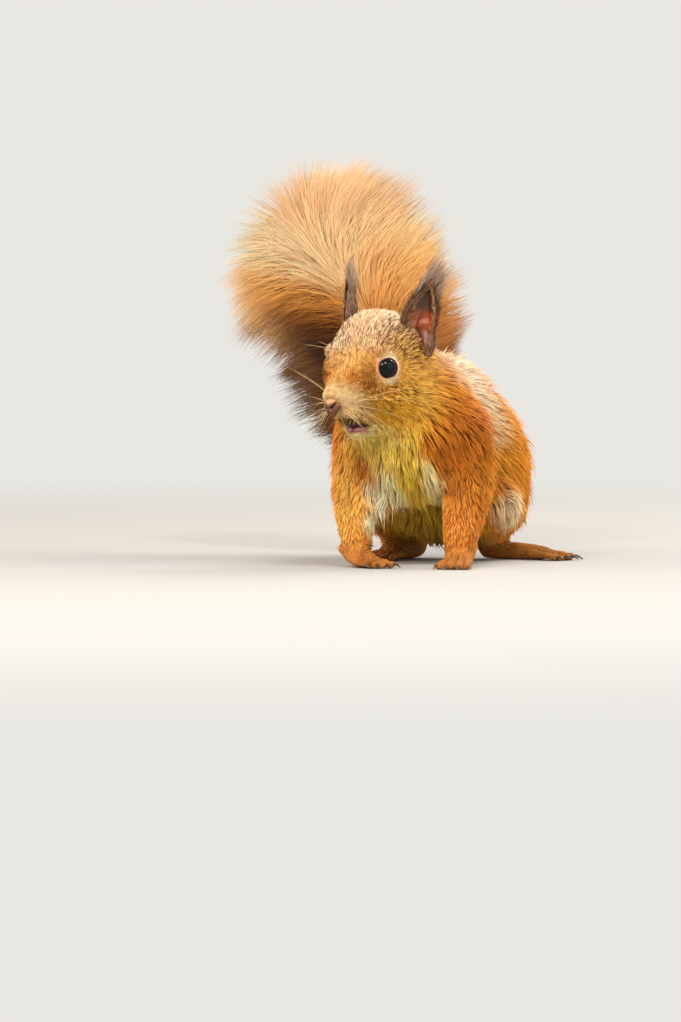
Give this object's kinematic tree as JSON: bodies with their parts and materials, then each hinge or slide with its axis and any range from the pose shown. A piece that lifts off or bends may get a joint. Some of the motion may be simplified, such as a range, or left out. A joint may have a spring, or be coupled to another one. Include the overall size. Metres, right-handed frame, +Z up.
{
  "type": "red squirrel figure",
  "caption": "Life-size still figure of a red squirrel, crouched on its hind legs and straight forelegs, head turned aside and bushy tail raised behind it.",
  "frame": {"origin": "on the floor under the middle of the bounding box", "axes": "-Y the way the body faces, +X to the animal's left, +Z up; the head is turned to the animal's right"},
  "size_m": [0.1878, 0.2636, 0.1929],
  "materials": {
    "coat_russet": "rust-orange fur over skin, soft and matte",
    "coat_cream": "cream underside fur over skin, soft and matte",
    "plume": "long loose tail hair, pale orange, matte",
    "ear": "thin ear, grey-brown fur outside and pink skin inside",
    "eye": "wet glossy black",
    "nose": "fine-grained pinkish brown, slightly moist",
    "tongue": "moist pink",
    "claw": "dark horn, satin"
  },
  "bodies": {
    "root": {"abdomen": "coat_cream", "chest": "coat_cream", "ear_left": "ear", "ear_right": "ear", "eye_left": "eye", "eye_right": "eye", "forearm_left": "coat_russet", "forearm_right": "coat_russet", "foreclaw_left_1": "claw", "foreclaw_left_2": "claw", "foreclaw_left_3": "claw", "foreclaw_left_4": "claw", "foreclaw_right_1": "claw", "foreclaw_right_2": "claw", "foreclaw_right_3": "claw", "foreclaw_right_4": "claw", "forepaw_left": "coat_russet", "forepaw_right": "coat_russet", "head": "coat_russet", "hindclaw_left_1": "claw", "hindclaw_left_2": "claw", "hindclaw_left_3": "claw", "hindclaw_left_4": "claw", "hindclaw_left_5": "claw", "hindclaw_right_1": "claw", "hindclaw_right_2": "claw", "hindclaw_right_3": "claw", "hindclaw_right_4": "claw", "hindclaw_right_5": "claw", "hindpaw_left": "coat_russet", "hindpaw_right": "coat_russet", "neck": "coat_russet", "nose": "nose", "shank_left": "coat_russet", "shank_right": "coat_russet", "tail_base": "plume", "tail_middle": "plume", "tail_tip": "plume", "thigh_left": "coat_russet", "thigh_right": "coat_russet", "tongue": "tongue", "upper_arm_left": "coat_russet", "upper_arm_right": "coat_russet"}
  },
  "joints": []
}
